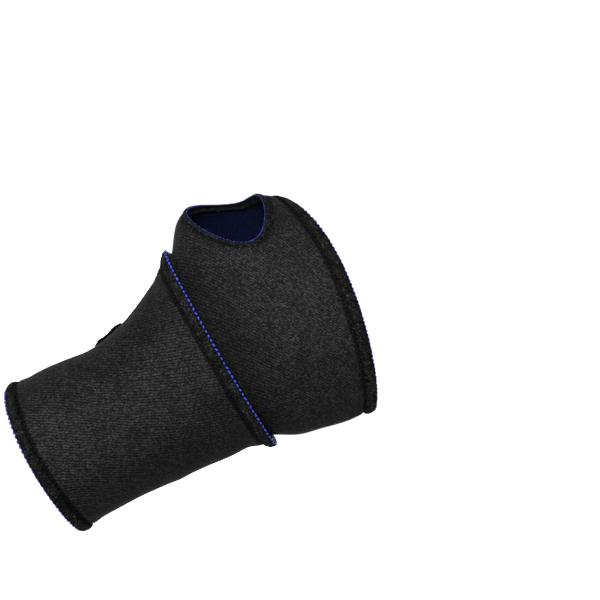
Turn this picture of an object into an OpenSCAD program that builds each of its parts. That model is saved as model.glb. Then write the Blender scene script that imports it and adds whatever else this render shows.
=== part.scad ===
// Neoprene wrist wrap with a thumb hole, in the shape that it has when worn.
// One laminated band winds twice round the hand and wrist as a spiral: across the palm, over the back of
// the hand, round the wrist, and back over itself to a hook-and-loop tab. All its edges are overlocked.
// The band is laid out by two coordinates: turn, the angle wound so far, and z, the height. A turn of 0
// points to the little finger (+X), 90 to the back of the hand (+Y), 180 to the thumb and 270 to the palm.

/* [Wearer] */
// Size of the hand and wrist against a medium adult
wearer = 1; // [0.95:0.01:1.05]

/* [Band] */
// Height of the band where it goes round the wrist
wrap_h = 90; // [84:1:92]
// Thickness of the bonded laminate
laminate_t = 3.2; // [2.8:0.1:3.6]
// Thickness of each knitted skin of the laminate
skin_t = 0.4; // [0.3:0.05:0.5]
// Air left between one turn and the next
turn_gap = 0.5; // [0.4:0.05:0.7]

/* [Edges] */
// Width of the overlocked edge
edge_w = 6; // [5:0.25:6.5]
// How far the overlocked edge stands above each face
edge_rise = 1; // [0.6:0.1:1.2]
// Half thickness of the coloured looper thread
thread_r = 0.4; // [0.3:0.05:0.5]

/* [Thumb hole] */
// Radius of the hole cut in the laminate
thumb_r = 17.5; // [16:0.25:18]
// Height of the middle of the hole
thumb_z = 120.5; // [119:0.5:122]
// How far the hole is turned from the thumb side to the palm side, in degrees
thumb_turn = 10; // [8:1:14]

/* [Closure] */
// Height of the hook tab
tab_h = 32; // [28:1:38]
// Thickness of the hook strip
hook_t = 1.4; // [1:0.1:1.6]
// Thickness of the loop pile patch
loop_t = 1.1; // [0.8:0.1:1.3]

/* [Hidden] */
// The wearer, every 10 mm up from the forearm opening: middle, half width and half depth.
middle = [0, -0.1, 0.1, 0.9, 2.1, 2.2, 1.4, 0.1, -1.9, -3.9, -7.2, -7.7, -5.8, -2.6, 1.5, 6.3, 10.3];
half_w = [25.8, 26.4, 26.5, 26.1, 25.9, 26.8, 28.6, 31.3, 34, 39.6, 48.4, 51.6, 52.3, 50.2, 47.3, 42.8, 38.8];
half_d = [20, 19.6, 19.2, 18.9, 18.7, 18.7, 19, 19.6, 20.6, 21.8, 22.5, 22.5, 21.5, 20, 18.5, 17.5, 16.5];
station = 10;

// Where the band starts, folds and ends, as turns.
band_start = 110;
flap_fold = 765;
tab_fold = 826;
band_end = 868;
fold_gap = 2;

// The band's two edges.
ulnar_top = 133.5;
palm_dome = 18.5;
dome_shape = 1.35;
palm_arc = 250;
thumb_low = 74;
ulnar_low = 45;
cuff_turn = 520;
cuff_lean = 2.3;
cuff_lean_arc = 120;
taper_start = 775;
taper_arc = 60;
tab_low = 32;
tab_corner_low = 8;
tab_corner_high = 7;
hand_corner = 9;
thumb_axis_y = 2.8;
mm_a_degree_wrist = 0.52;
mm_a_degree_hand = 0.7;

// How the band climbs over its own first end, in degrees, and how an outer turn's edges stand off.
climb = 14;
climb_clear = 20;
edge_lift = 1;
edge_lift_w = 12;
pile_gap = 0.1;
flap_slack = 0.4;
patch_clear = 0.2;

tuck = 1.4;
slot_clear = 0.05;
seat = 0.95;
hidden_rise = 0.25;
butt_gap = 0.1;
turn_step = 10;
fine_step = 5;
inner_rows = 10;
core_t = laminate_t - 2 * skin_t;

black = [0.05, 0.05, 0.055];
foam = [0.09, 0.09, 0.09];
blue = [0.12, 0.2, 0.85];
navy = [0.05, 0.08, 0.24];

// ---- Curves ----

function smooth(t) = let (c = min(1, max(0, t))) c * c * (3 - 2 * c);

function knot(list, i) = list[min(len(list) - 1, max(0, i))];

// A smooth curve through evenly spaced values.
function curve_at(list, u) =
    let (i = floor(u), t = u - i,
         a = knot(list, i - 1), b = knot(list, i), c = knot(list, i + 1), d = knot(list, i + 2))
    b + 0.5 * t * (c - a + t * (2 * a - 5 * b + 4 * c - d + t * (3 * (b - c) + d - a)));

// How far a corner of radius r cuts into an edge, at a share u of the way to the end.
function corner(r, u) = let (c = min(1, max(0, u))) r * (1 - cos(90 * c));

// ---- The band's outline ----

function palm_edge(turn) =
    ulnar_top + palm_dome * sin(180 * (360 - turn) / palm_arc) ^ dome_shape
    - corner(hand_corner, 1 - (turn - band_start) * mm_a_degree_hand / hand_corner);

function back_edge(turn) = ulnar_top - (ulnar_top - wrap_h) * smooth((turn - 360) / 180);

function to_end(turn, r) = 1 - (band_end - turn) * mm_a_degree_wrist / r;

function high_edge(turn) =
    turn < 360 ? palm_edge(turn)
    : turn < 540 ? back_edge(turn)
    : wrap_h - (wrap_h - tab_low - tab_h) * smooth((turn - taper_start) / taper_arc)
      - corner(tab_corner_high, to_end(turn, tab_corner_high));

function low_edge(turn) =
    turn < 360 ? thumb_low - (thumb_low - ulnar_low) * smooth((turn - 180) / 180)
    : turn < cuff_turn ? ulnar_low - (ulnar_low - cuff_lean) * smooth((turn - 360) / (cuff_turn - 360))
    : cuff_lean * (1 - smooth((turn - cuff_turn) / cuff_lean_arc))
      + tab_low * smooth((turn - taper_start) / taper_arc)
      + corner(tab_corner_low, to_end(turn, tab_corner_low));

// ---- The band's surface ----

// How many turns of the band lie under this one.
function turns_below(turn) =
    smooth((turn - 360 - band_start + climb_clear) / climb)
    + smooth((turn - 720 - band_start + climb_clear) / climb);

function by_an_edge(turn, z) =
    max(smooth((z - high_edge(turn) + edge_lift_w) / 8), smooth((low_edge(turn) + edge_lift_w - z) / 8));

// How far the inner face of the band lies off the wearer.
function off_wearer(turn, z) =
    let (below = turns_below(turn))
    (laminate_t + turn_gap) * below
    + edge_lift * min(1, below) * by_an_edge(turn, z)
    + flap_slack * smooth((turn - 720) / 40)
    + (hook_t + loop_t + pile_gap) * smooth((turn - 800) / 26);

// The point of the band at a turn and a height, h above its inner face.
function on_band(turn, z, h) =
    let (a = curve_at(half_w, z / station), b = curve_at(half_d, z / station),
         n = [b * cos(turn), a * sin(turn)], off = off_wearer(turn, z) + h)
    concat(
        [curve_at(middle, z / station) + a * cos(turn), b * sin(turn)] * wearer + n / norm(n) * off,
        [z]
    );

// ---- Solids made of a row of sections ----

// Every quad is split from its lower corner on one section to its upper on the next, so that layers nest.
function sides(sections, n) = [
    for (i = [0:len(sections) - 2], j = [0:n - 1])
        let (k = (j + 1) % n, a = i * n + j, b = i * n + k, c = a + n, d = b + n)
        each (sections[i][k][2] >= sections[i][j][2] ? [[a, b, d], [a, d, c]] : [[a, b, c], [b, d, c]])
];

function cap(triangles, first, flip) = [
    for (t = triangles)
        flip ? [first + t[2], first + t[1], first + t[0]] : [first + t[0], first + t[1], first + t[2]]
];

function flipped(triangles) = [for (t = triangles) [t[2], t[1], t[0]]];

// A solid through the sections, each a closed loop of n points, with its ends closed by the triangles given.
// Sections that run the other way round give the faces the other way out, so those are turned back.
module loft(sections, triangles, turn_back = false) {
    n = len(sections[0]);
    faces = concat(
        sides(sections, n),
        cap(triangles, 0, true),
        cap(triangles, (len(sections) - 1) * n, false)
    );
    polyhedron(
        points = [for (s = sections) each s],
        faces = turn_back ? flipped(faces) : faces
    );
}

// The same with no ends: the last section joins the first.
module ring(sections) {
    n = len(sections[0]);
    loft_faces = sides(concat(sections, [sections[0]]), n);
    total = n * len(sections);
    polyhedron(
        points = [for (s = sections) each s],
        faces = [for (f = loft_faces) [for (v = f) v % total]]
    );
}

function fan(n) = [for (i = [1:n - 2]) [0, i, i + 1]];

// The turns from one to another, at every multiple of a step between.
function turns(from, to, step) =
    concat([from], [for (i = [floor(from / step + 0.2) + 1:ceil(to / step - 0.2) - 1]) i * step], [to]);

// ---- The laminate ----

// Heights of the rows of points, with one where each overlocked edge ends.
function rows(turn) =
    let (lo = low_edge(turn), hi = high_edge(turn))
    concat(
        [lo + tuck + slot_clear],
        [for (j = [0:inner_rows]) lo + edge_w + (hi - lo - 2 * edge_w) * j / inner_rows],
        [hi - tuck - slot_clear]
    );

function sheet_section(turn, h0, h1) =
    let (zs = rows(turn), n = len(zs))
    concat(
        [for (z = zs) on_band(turn, z, h1)],
        [for (i = [n - 1:-1:0]) on_band(turn, zs[i], h0)]
    );

function strip(n) = [
    for (i = [0:n / 2 - 2]) each [[i, i + 1, n - 2 - i], [i, n - 2 - i, n - 1 - i]]
];

module sheet(from, to, h0, h1, step = turn_step) {
    sections = [for (t = turns(from, to, step)) sheet_section(t, h0, h1)];
    loft(sections, strip(len(sections[0])));
}

module thumb_cut() {
    across = 80;
    translate([0, thumb_axis_y, thumb_z])
        rotate([0, 0, 180 + thumb_turn])
            rotate([0, 90, 0])
                cylinder(h = across, r = thumb_r, $fn = 64);
}

module cut_sheet(h0, h1) {
    difference() {
        sheet(band_start, flap_fold - fold_gap, h0, h1);
        thumb_cut();
    }
}

// ---- Overlocked edges ----

// How far an edge stands proud: flat where a further turn presses on it.
function low_rise(turn) = hidden_rise + (edge_rise - hidden_rise) * smooth((turn - 490) / 30);

// The section of an overlocked edge as [in from the edge, height over the inner face]: a slot that holds the
// laminate, then the outside of the stitches, with a seat for the looper thread on its outer shoulder.
function edge_profile(rise) = [
    [edge_w, laminate_t], [tuck, laminate_t], [tuck, 0], [edge_w, 0],
    [edge_w, -0.3 * rise], [edge_w * 0.55, -rise], [edge_w * 0.12, -0.5 * rise], [0, laminate_t / 2 - 0.3],
    [0, laminate_t - seat], [seat, laminate_t - seat], [seat, laminate_t + 0.4 * rise],
    [edge_w * 0.55, laminate_t + rise], [edge_w, laminate_t + 0.3 * rise]
];

edge_ends = [
    [3, 4, 5], [3, 5, 2], [2, 5, 6], [2, 6, 7], [2, 7, 8], [2, 8, 9], [2, 9, 1], [1, 9, 10], [1, 10, 11],
    [1, 11, 0], [0, 11, 12]
];

module high_overlock(from, to, step = turn_step) {
    loft(
        [for (t = turns(from, to, step))
            let (p = edge_profile(edge_rise), hi = high_edge(t))
            [for (q = p) on_band(t, hi - q[0], q[1])]],
        edge_ends,
        turn_back = true
    );
}

module low_overlock(from, to, step = turn_step) {
    loft(
        [for (t = turns(from, to, step))
            let (p = edge_profile(low_rise(t)), lo = low_edge(t), n = len(p))
            [for (i = [n - 1:-1:0]) on_band(t, lo + p[i][0], p[i][1])]],
        [for (t = flipped(edge_ends)) [for (v = t) len(edge_profile(1)) - 1 - v]],
        turn_back = true
    );
}

// The stitches along a free end, from a low edge to a high one. Way is -1 where the band lies past the
// end and 1 where it lies before it.
function end_rise(z, shown_from) = hidden_rise + (edge_rise - hidden_rise) * smooth((z - shown_from) / 8);

module end_overlock(turn, way, mm_a_degree, from, to, shown_from) {
    steps = 14;
    depth = 3.2 / mm_a_degree;
    gap = butt_gap / mm_a_degree;
    loft(
        [for (i = [0:steps])
            let (z = from + (to - from) * i / steps, r = end_rise(z, shown_from),
                 p = [
                     [0, -0.6 * r], [0, laminate_t + 0.6 * r], [0.6, laminate_t + r], [1, laminate_t / 2],
                     [0.6, -r]
                 ])
            [for (j = [0:4])
                let (q = way > 0 ? p[4 - j] : p[j])
                on_band(turn + way * (gap + depth * q[0]), z, q[1])]],
        fan(5)
    );
}

// ---- Looper threads ----

// A square thread that runs along points of the band, each [turn, z, height over the inner face].
module thread(path, up, out) {
    loft(
        [for (p = path)
            [for (q = [[-1, -1], [1, -1], [1, 1], [-1, 1]] * thread_r)
                on_band(p[0] + q[0] * up[0] / 0.6, p[1] + q[0] * up[1], p[2] + q[1] * out)]],
        fan(4)
    );
}

// The thread's middle, in from the edge and over the inner face, where it lies in its seat.
thread_in = seat - thread_r - 0.05;
thread_h = laminate_t - thread_in;

module high_thread(from, to, step = turn_step) {
    thread([for (t = turns(from, to, step)) [t, high_edge(t) - thread_in, thread_h]], [0, -1], 1);
}

module low_thread(from, to, step = turn_step) {
    thread([for (t = turns(from, to, step)) [t, low_edge(t) + thread_in, thread_h]], [0, -1], 1);
}

module end_thread(turn, way, mm_a_degree, from, to) {
    steps = 14;
    reach = (3.2 + butt_gap + thread_r + 0.15) / mm_a_degree;
    thread([for (i = [0:steps]) [turn + way * reach, from + (to - from) * i / steps, thread_h]], [1, 0], 1);
}

// ---- Thumb hole ----

// The turn at which the band, at a height, lies a distance to one side of the hole's axis.
function side_of(turn, z, h) =
    let (p = on_band(turn, z, h)) p[0] * sin(thumb_turn) - (p[1] - thumb_axis_y) * cos(thumb_turn);

function turn_at(z, h, side, lo, hi, n = 18) =
    let (m = (lo + hi) / 2)
    n == 0 ? m
    : side_of(m, z, h) < side ? turn_at(z, h, side, m, hi, n - 1)
    : turn_at(z, h, side, lo, m, n - 1);

// A ring on the hole's wall, through the band, with its section given as [distance from the axis, height].
module thumb_ring(profile, steps) {
    ring([
        for (i = [0:steps - 1])
            let (a = 360 * i / steps)
            [for (q = profile)
                let (z = thumb_z + q[0] * sin(a))
                on_band(turn_at(z, q[1], q[0] * cos(a), 130, 260), z, q[1])]
    ]);
}

rim_w = 2.4;
rim_rise = 0.5;

// ---- Nodes ----

module brace_core() { color(foam) cut_sheet(skin_t, skin_t + core_t); }
module brace_facing() { color(black) cut_sheet(skin_t + core_t, laminate_t); }
module brace_lining() { color(navy) cut_sheet(0, skin_t); }

module distal_edge_overlock() { color(black) high_overlock(band_start, flap_fold - fold_gap); }
module proximal_edge_overlock() { color(black) low_overlock(band_start, flap_fold - fold_gap); }
module hand_end_overlock() {
    color(black)
        end_overlock(band_start, -1, mm_a_degree_hand, low_edge(band_start), high_edge(band_start), 112);
}
module thumb_hole_overlock() {
    color(black)
        thumb_ring(
            [
                [thumb_r - butt_gap, -rim_rise], [thumb_r - butt_gap, laminate_t + rim_rise],
                [thumb_r - rim_w * 0.7, laminate_t + rim_rise], [thumb_r - rim_w, laminate_t / 2],
                [thumb_r - rim_w * 0.7, -rim_rise]
            ],
            32
        );
}

module distal_edge_thread() { color(blue) high_thread(band_start, flap_fold - fold_gap); }
module proximal_edge_thread() { color(blue) low_thread(band_start, flap_fold - fold_gap); }
module hand_end_thread() {
    color(blue)
        end_thread(band_start, -1, mm_a_degree_hand, low_edge(band_start) + 1, high_edge(band_start) - 1);
}
module thumb_hole_thread() {
    inner = thumb_r - rim_w - 0.1;
    color(blue)
        thumb_ring(
            [
                [inner, thread_h - thread_r], [inner, thread_h + thread_r],
                [inner - 2 * thread_r, thread_h + thread_r], [inner - 2 * thread_r, thread_h - thread_r]
            ],
            32
        );
}

// A patch laid on the band between two turns and two heights, from h0 to h1 over its inner face.
module patch(from, to, low, high, h0, h1) {
    rows = 8;
    loft(
        [for (t = turns(from, to, fine_step))
            concat(
                [for (j = [0:rows]) on_band(t, low + (high - low) * j / rows, h1)],
                [for (j = [rows:-1:0]) on_band(t, low + (high - low) * j / rows, h0)]
            )],
        strip(2 * rows + 2)
    );
}

// A line of stitches round a patch, as one thin bead a side.
module patch_stitching(from, to, low, high, h0, h1, mm_a_degree) {
    w = 0.7;
    for (z = [low, high - w]) patch(from, to, z, z + w, h0, h1);
    for (t = [from, to - w / mm_a_degree])
        patch(t, t + w / mm_a_degree, low + w + 0.1, high - w - 0.1, h0, h1);
}

patch_from = 462;
patch_to = 524;
patch_low = tab_low - 4;
patch_high = tab_low + tab_h;
hook_from = tab_fold + 5;
hook_to = band_end - 9;
hook_low = tab_low + 8;
hook_high = tab_low + tab_h - 8;
stitch_in = 1.5;
stitch_h = 0.3;

module loop_patch() {
    color(black)
        patch(
            patch_from, patch_to, patch_low, patch_high,
            laminate_t + patch_clear, laminate_t + loop_t - stitch_h
        );
}
module loop_patch_stitching() {
    color(black)
        patch_stitching(
            patch_from + 3, patch_to - 3, patch_low + stitch_in, patch_high - stitch_in,
            laminate_t + loop_t - stitch_h + 0.1, laminate_t + loop_t, mm_a_degree_wrist
        );
}

module flap_core() { color(foam) sheet(flap_fold + fold_gap, tab_fold - fold_gap, skin_t, skin_t + core_t); }
module flap_facing() {
    color(black) sheet(flap_fold + fold_gap, tab_fold - fold_gap, skin_t + core_t, laminate_t);
}
module flap_lining() { color(navy) sheet(flap_fold + fold_gap, tab_fold - fold_gap, 0, skin_t); }
module flap_distal_overlock() { color(black) high_overlock(flap_fold + fold_gap, tab_fold - fold_gap); }
module flap_proximal_overlock() { color(black) low_overlock(flap_fold + fold_gap, tab_fold - fold_gap); }
module flap_distal_thread() { color(blue) high_thread(flap_fold + fold_gap, tab_fold - fold_gap); }
module flap_proximal_thread() { color(blue) low_thread(flap_fold + fold_gap, tab_fold - fold_gap); }

module tab_core() { color(foam) sheet(tab_fold + fold_gap, band_end, skin_t, skin_t + core_t, fine_step); }
module tab_facing() {
    color(black) sheet(tab_fold + fold_gap, band_end, skin_t + core_t, laminate_t, fine_step);
}
module tab_lining() { color(navy) sheet(tab_fold + fold_gap, band_end, 0, skin_t, fine_step); }
module tab_distal_overlock() { color(black) high_overlock(tab_fold + fold_gap, band_end, fine_step); }
module tab_proximal_overlock() { color(black) low_overlock(tab_fold + fold_gap, band_end, fine_step); }
module tab_end_overlock() {
    color(black) end_overlock(band_end, 1, mm_a_degree_wrist, low_edge(band_end), high_edge(band_end), 0);
}
module tab_distal_thread() { color(blue) high_thread(tab_fold + fold_gap, band_end, fine_step); }
module tab_proximal_thread() { color(blue) low_thread(tab_fold + fold_gap, band_end, fine_step); }
module tab_end_thread() {
    color(blue) end_thread(band_end, 1, mm_a_degree_wrist, low_edge(band_end) + 1, high_edge(band_end) - 1);
}

module hook_strip() { color(black) patch(hook_from, hook_to, hook_low, hook_high, -hook_t, -patch_clear); }
module hook_strip_stitching() {
    color(black)
        patch_stitching(
            hook_from, hook_to, hook_low, hook_high,
            laminate_t + patch_clear, laminate_t + patch_clear + stitch_h, mm_a_degree_wrist
        );
}

brace_core();
brace_facing();
brace_lining();
distal_edge_overlock();
proximal_edge_overlock();
hand_end_overlock();
thumb_hole_overlock();
distal_edge_thread();
proximal_edge_thread();
hand_end_thread();
thumb_hole_thread();
loop_patch();
loop_patch_stitching();
flap_core();
flap_facing();
flap_lining();
flap_distal_overlock();
flap_proximal_overlock();
flap_distal_thread();
flap_proximal_thread();
tab_core();
tab_facing();
tab_lining();
tab_distal_overlock();
tab_proximal_overlock();
tab_end_overlock();
tab_distal_thread();
tab_proximal_thread();
tab_end_thread();
hook_strip();
hook_strip_stitching();
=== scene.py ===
import math

import bpy
import numpy as np
from mathutils import Matrix, Vector


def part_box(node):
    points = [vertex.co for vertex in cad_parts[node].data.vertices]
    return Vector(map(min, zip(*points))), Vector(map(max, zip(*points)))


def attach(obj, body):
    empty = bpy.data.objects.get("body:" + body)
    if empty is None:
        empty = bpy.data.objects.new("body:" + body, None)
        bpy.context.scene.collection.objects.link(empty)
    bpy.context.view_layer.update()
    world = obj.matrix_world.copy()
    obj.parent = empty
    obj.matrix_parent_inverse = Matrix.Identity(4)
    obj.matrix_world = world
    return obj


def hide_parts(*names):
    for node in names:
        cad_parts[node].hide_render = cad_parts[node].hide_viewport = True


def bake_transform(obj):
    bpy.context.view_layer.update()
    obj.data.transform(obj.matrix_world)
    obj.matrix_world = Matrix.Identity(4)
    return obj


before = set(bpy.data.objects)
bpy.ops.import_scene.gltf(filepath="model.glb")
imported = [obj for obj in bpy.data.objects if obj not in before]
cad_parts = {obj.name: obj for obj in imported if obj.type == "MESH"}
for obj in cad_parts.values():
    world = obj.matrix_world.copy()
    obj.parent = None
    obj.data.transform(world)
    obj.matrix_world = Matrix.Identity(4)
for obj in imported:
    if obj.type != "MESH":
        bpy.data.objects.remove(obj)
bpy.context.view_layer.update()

MM = 0.001

# ---------------------------------------------------------------- the wearer and the band, in millimetres
# The band is laid out by two coordinates: turn, the angle wound so far, and z, the height. A turn of 0
# points to the little finger (+X), 90 to the back of the hand (+Y), 180 to the thumb and 270 to the palm.

# The wearer, every 10 mm up from the forearm opening: middle, half width and half depth.
STATION = 10
MIDDLE = [0, -0.1, 0.1, 0.9, 2.1, 2.2, 1.4, 0.1, -1.9, -3.9, -7.2, -7.7, -5.8, -2.6, 1.5, 6.3, 10.3]
HALF_W = [25.8, 26.4, 26.5, 26.1, 25.9, 26.8, 28.6, 31.3, 34, 39.6, 48.4, 51.6, 52.3, 50.2, 47.3, 42.8, 38.8]
HALF_D = [20, 19.6, 19.2, 18.9, 18.7, 18.7, 19, 19.6, 20.6, 21.8, 22.5, 22.5, 21.5, 20, 18.5, 17.5, 16.5]

# Thickness of the laminate and of its skins, air between turns, width and rise of an overlocked edge, and
# the length of a stitch.
T = 3.2
SKIN = 0.4
GAP = 0.5
EDGE_W = 5.0
RISE = 1.0
STITCH = 2.0

# Where the band starts, passes to the flap and to the tab, and ends, as turns.
START, FLAP_FROM, TAB_FROM, END = 110.0, 755.0, 815.0, 868.0

# The band's upper edge: a dome over the palm, down the back of the hand, round the wrist, then the tab.
ULNAR_TOP, PALM_DOME, DOME_SHAPE, PALM_ARC = 133.5, 18.5, 1.35, 250
HAND_CORNER = 9
WRAP_H = 90.0
BACK_ARC = 180
TAB_HIGH, TAB_CORNER_HIGH = 64, 7
# Its lower edge.
THUMB_LOW, ULNAR_LOW = 74, 45
CUFF_TURN, CUFF_LEAN, CUFF_LEAN_ARC = 520, 2.3, 120
TAB_LOW, TAB_CORNER_LOW = 32, 8
TAPER_START, TAPER_ARC = 775, 60
MM_A_DEGREE_HAND, MM_A_DEGREE_WRIST = 0.7, 0.52

# The thumb hole: radius of its rim's edge and of the cut, height, turn towards the palm and axis.
RIM_R, HOLE_R, THUMB_Z, THUMB_TURN, THUMB_Y = 15.2, 16.0, 121.0, math.radians(10), 2.8
NEAR_THUMB, THUMB_SEARCH = (130, 262), (130.0, 260.0)

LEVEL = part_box("proximal_edge_overlock")[0].z / MM


def curve(values, z):
    """The value at a height, from a list with one value at each station."""
    v = np.asarray(values, float)
    u = np.asarray(z, float) / STATION
    i = np.floor(u).astype(int)
    t = u - i
    a, b, c, d = (v[np.clip(i + k, 0, len(v) - 1)] for k in (-1, 0, 1, 2))
    return b + 0.5 * t * (c - a + t * (2 * a - 5 * b + 4 * c - d + t * (3 * (b - c) + d - a)))


def smooth(t):
    """Goes from 0 to 1 as t does, and stays level outside."""
    c = np.clip(t, 0, 1)
    return c * c * (3 - 2 * c)


def unit(v):
    return v / np.maximum(np.linalg.norm(v, axis=-1, keepdims=True), 1e-9)


def corner(r, u):
    """How far a rounded corner of radius r has cut in, as u goes from 0 to 1."""
    return r * (1 - np.cos(np.radians(90 * np.clip(u, 0, 1))))


def high_edge(turn):
    turn = np.asarray(turn, float)
    dome = np.maximum(np.sin(np.radians(180 * (360 - turn) / PALM_ARC)), 0) ** DOME_SHAPE
    first_end = corner(HAND_CORNER, 1 - (turn - START) * MM_A_DEGREE_HAND / HAND_CORNER)
    last_end = corner(TAB_CORNER_HIGH, 1 - (END - turn) * MM_A_DEGREE_WRIST / TAB_CORNER_HIGH)
    palm = ULNAR_TOP + PALM_DOME * dome - first_end
    back = ULNAR_TOP - (ULNAR_TOP - WRAP_H) * smooth((turn - 360) / BACK_ARC)
    wrist = WRAP_H - (WRAP_H - TAB_HIGH) * smooth((turn - TAPER_START) / TAPER_ARC) - last_end
    return np.where(turn < 360, palm, np.where(turn < 360 + BACK_ARC, back, wrist))


def low_edge(turn):
    turn = np.asarray(turn, float)
    last_end = corner(TAB_CORNER_LOW, 1 - (END - turn) * MM_A_DEGREE_WRIST / TAB_CORNER_LOW)
    hand = THUMB_LOW - (THUMB_LOW - ULNAR_LOW) * smooth((turn - 180) / 180)
    back = ULNAR_LOW - (ULNAR_LOW - CUFF_LEAN) * smooth((turn - 360) / (CUFF_TURN - 360))
    wrist = (CUFF_LEAN * (1 - smooth((turn - CUFF_TURN) / CUFF_LEAN_ARC))
             + TAB_LOW * smooth((turn - TAPER_START) / TAPER_ARC) + last_end)
    return np.where(turn < 360, hand, np.where(turn < CUFF_TURN, back, wrist))


# Degrees over which the band climbs onto a turn below it, and how long before that one's end it has done so.
CLIMB, CLIMB_CLEAR = 14, 20
# Where the wrist's crease is, and how it slants across the band.
CREASE_TURN, CREASE_Z, CREASE_SLANT = 586, 62, 0.67


def turns_below(turn):
    """How many turns of the band lie under this one, climbing just before the first end."""
    first, second = (smooth((turn - around - START + CLIMB_CLEAR) / CLIMB) for around in (360, 720))
    return first + second


def wrinkles(turn, z):
    """How far the cloth stands off its smooth shape.

    There are slow waves, a crease where the wrist widens into the thumb side, and the edge of the panel
    below showing through the strap."""
    w = 0.14 * np.sin(0.071 * turn + 0.050 * z + 1.3) + 0.11 * np.sin(0.043 * turn - 0.083 * z)
    across = (turn - CREASE_TURN) + CREASE_SLANT * (z - CREASE_Z)
    crease = 0.6 * np.exp(-((across + 15) / 9) ** 2) - 1.0 * np.exp(-(across / 8) ** 2)
    shown = smooth((z - 24) / 14) * smooth((74 - z) / 12)
    below = 0.4 * np.exp(-((z - low_edge(turn - 360) - 2) / 3.5) ** 2)
    return 0.25 + w + smooth((turn - 530) / 30) * smooth((740 - turn) / 30) * (shown * crease + below)


def off_wearer(turn, z):
    """How far the band's inner face is from the wearer; the flap lies slack, and the tab over its patch."""
    below = turns_below(turn)
    edge = np.maximum(smooth((z - high_edge(turn) + 12) / 8), smooth((low_edge(turn) + 12 - z) / 8))
    return ((T + GAP) * below + np.minimum(1, below) * edge
            + 0.4 * smooth((turn - 720) / 40) + 2.6 * smooth((turn - 800) / 26))


def band(turn, z, h):
    """The point at a turn and height, h above the band's inner face."""
    turn, z, h = np.broadcast_arrays(np.asarray(turn, float), np.asarray(z, float), np.asarray(h, float))
    a, b = curve(HALF_W, z), curve(HALF_D, z)
    th = np.radians(turn)
    n = unit(np.stack([b * np.cos(th), a * np.sin(th)], -1))
    off = off_wearer(turn, z) + wrinkles(turn, z) * smooth((turn - 130) / 60) + h
    xy = np.stack([curve(MIDDLE, z) + a * np.cos(th), b * np.sin(th)], -1) + n * off[..., None]
    return np.concatenate([xy, z[..., None] + LEVEL], -1)


# Arc length round the wearer by height and turn, so that cloth patterns and stitches keep their size.
ARC_TURN_FROM, ARC_Z_FROM, ARC_Z_STEP, ARC_OUT = 90, -10, 5.0, 4
ARC_TURN = np.arange(ARC_TURN_FROM, 900.1, 1.0)
ARC_Z = np.arange(ARC_Z_FROM, 165.1, ARC_Z_STEP)


def arc_table():
    a, b = curve(HALF_W, ARC_Z)[:, None] + ARC_OUT, curve(HALF_D, ARC_Z)[:, None] + ARC_OUT
    step = np.hypot(a * np.sin(np.radians(ARC_TURN)), b * np.cos(np.radians(ARC_TURN))) * math.pi / 180
    return np.concatenate([np.zeros((len(ARC_Z), 1)), np.cumsum((step[:, 1:] + step[:, :-1]) / 2, 1)], 1)


ARC = arc_table()


def arc(turn, z):
    turn, z = np.broadcast_arrays(np.asarray(turn, float), np.asarray(z, float))
    i = np.clip(turn - ARC_TURN_FROM, 0, len(ARC_TURN) - 1.001)
    j = np.clip((z - ARC_Z_FROM) / ARC_Z_STEP, 0, len(ARC_Z) - 1.001)
    i0, j0 = i.astype(int), j.astype(int)
    f, g = i - i0, j - j0
    return ((ARC[j0, i0] * (1 - f) + ARC[j0, i0 + 1] * f) * (1 - g)
            + (ARC[j0 + 1, i0] * (1 - f) + ARC[j0 + 1, i0 + 1] * f) * g)


def mm_a_degree(turn, z):
    return arc(turn + 0.5, z) - arc(turn - 0.5, z)


# The knit's ribs: a turn to measure from and the angle to the arm, over the palm and round the wrist.
PALM_RIBS, WRIST_RIBS = (270.0, 58), (630.0, 30)
RIBS_TURN, RIBS_ARC = 390, 120


def ribs(turn, z, ref, angle):
    """Millimetres across and along ribs that slant at one angle."""
    u = arc(turn, z) - arc(np.full_like(turn, ref), z)
    s, c = math.sin(math.radians(angle)), math.cos(math.radians(angle))
    return np.stack([-c * u + s * z, s * u + c * z], -1)


# The two directions agree at this place, where one passes to the other.
MEET = np.array([450.0]), np.array([60.0])
RIB_SHIFT = (ribs(*MEET, *PALM_RIBS) - ribs(*MEET, *WRIST_RIBS))[0]


def knit_uv(turn, z):
    w = smooth((turn - RIBS_TURN) / RIBS_ARC)[..., None]
    return ribs(turn, z, *PALM_RIBS) * (1 - w) + (ribs(turn, z, *WRIST_RIBS) + RIB_SHIFT) * w


def side_of(turn, z, h):
    """How far a point of the band is to one side of the thumb hole's axis."""
    p = band(turn, z, h)
    return p[..., 0] * math.sin(THUMB_TURN) - (p[..., 1] - THUMB_Y) * math.cos(THUMB_TURN)


def turn_at(z, h, side):
    """The turn at which the hand panel is that far to one side of the thumb hole's axis."""
    lo, hi = (np.full(np.shape(side), end) for end in THUMB_SEARCH)
    for _ in range(22):
        mid = (lo + hi) / 2
        small = side_of(mid, z, h) < side
        lo, hi = np.where(small, mid, lo), np.where(small, hi, mid)
    return (lo + hi) / 2


# ---------------------------------------------------------------- meshes

def grid_quads(n, m, wrap=False):
    """Quads of an n by m grid of points; wrap joins the last of each m to its first."""
    i, j = np.meshgrid(np.arange(n - 1), np.arange(m if wrap else m - 1), indexing="ij")
    k = (j + 1) % m
    return np.stack([i * m + j, i * m + k, (i + 1) * m + k, (i + 1) * m + j], -1).reshape(-1, 4)


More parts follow.
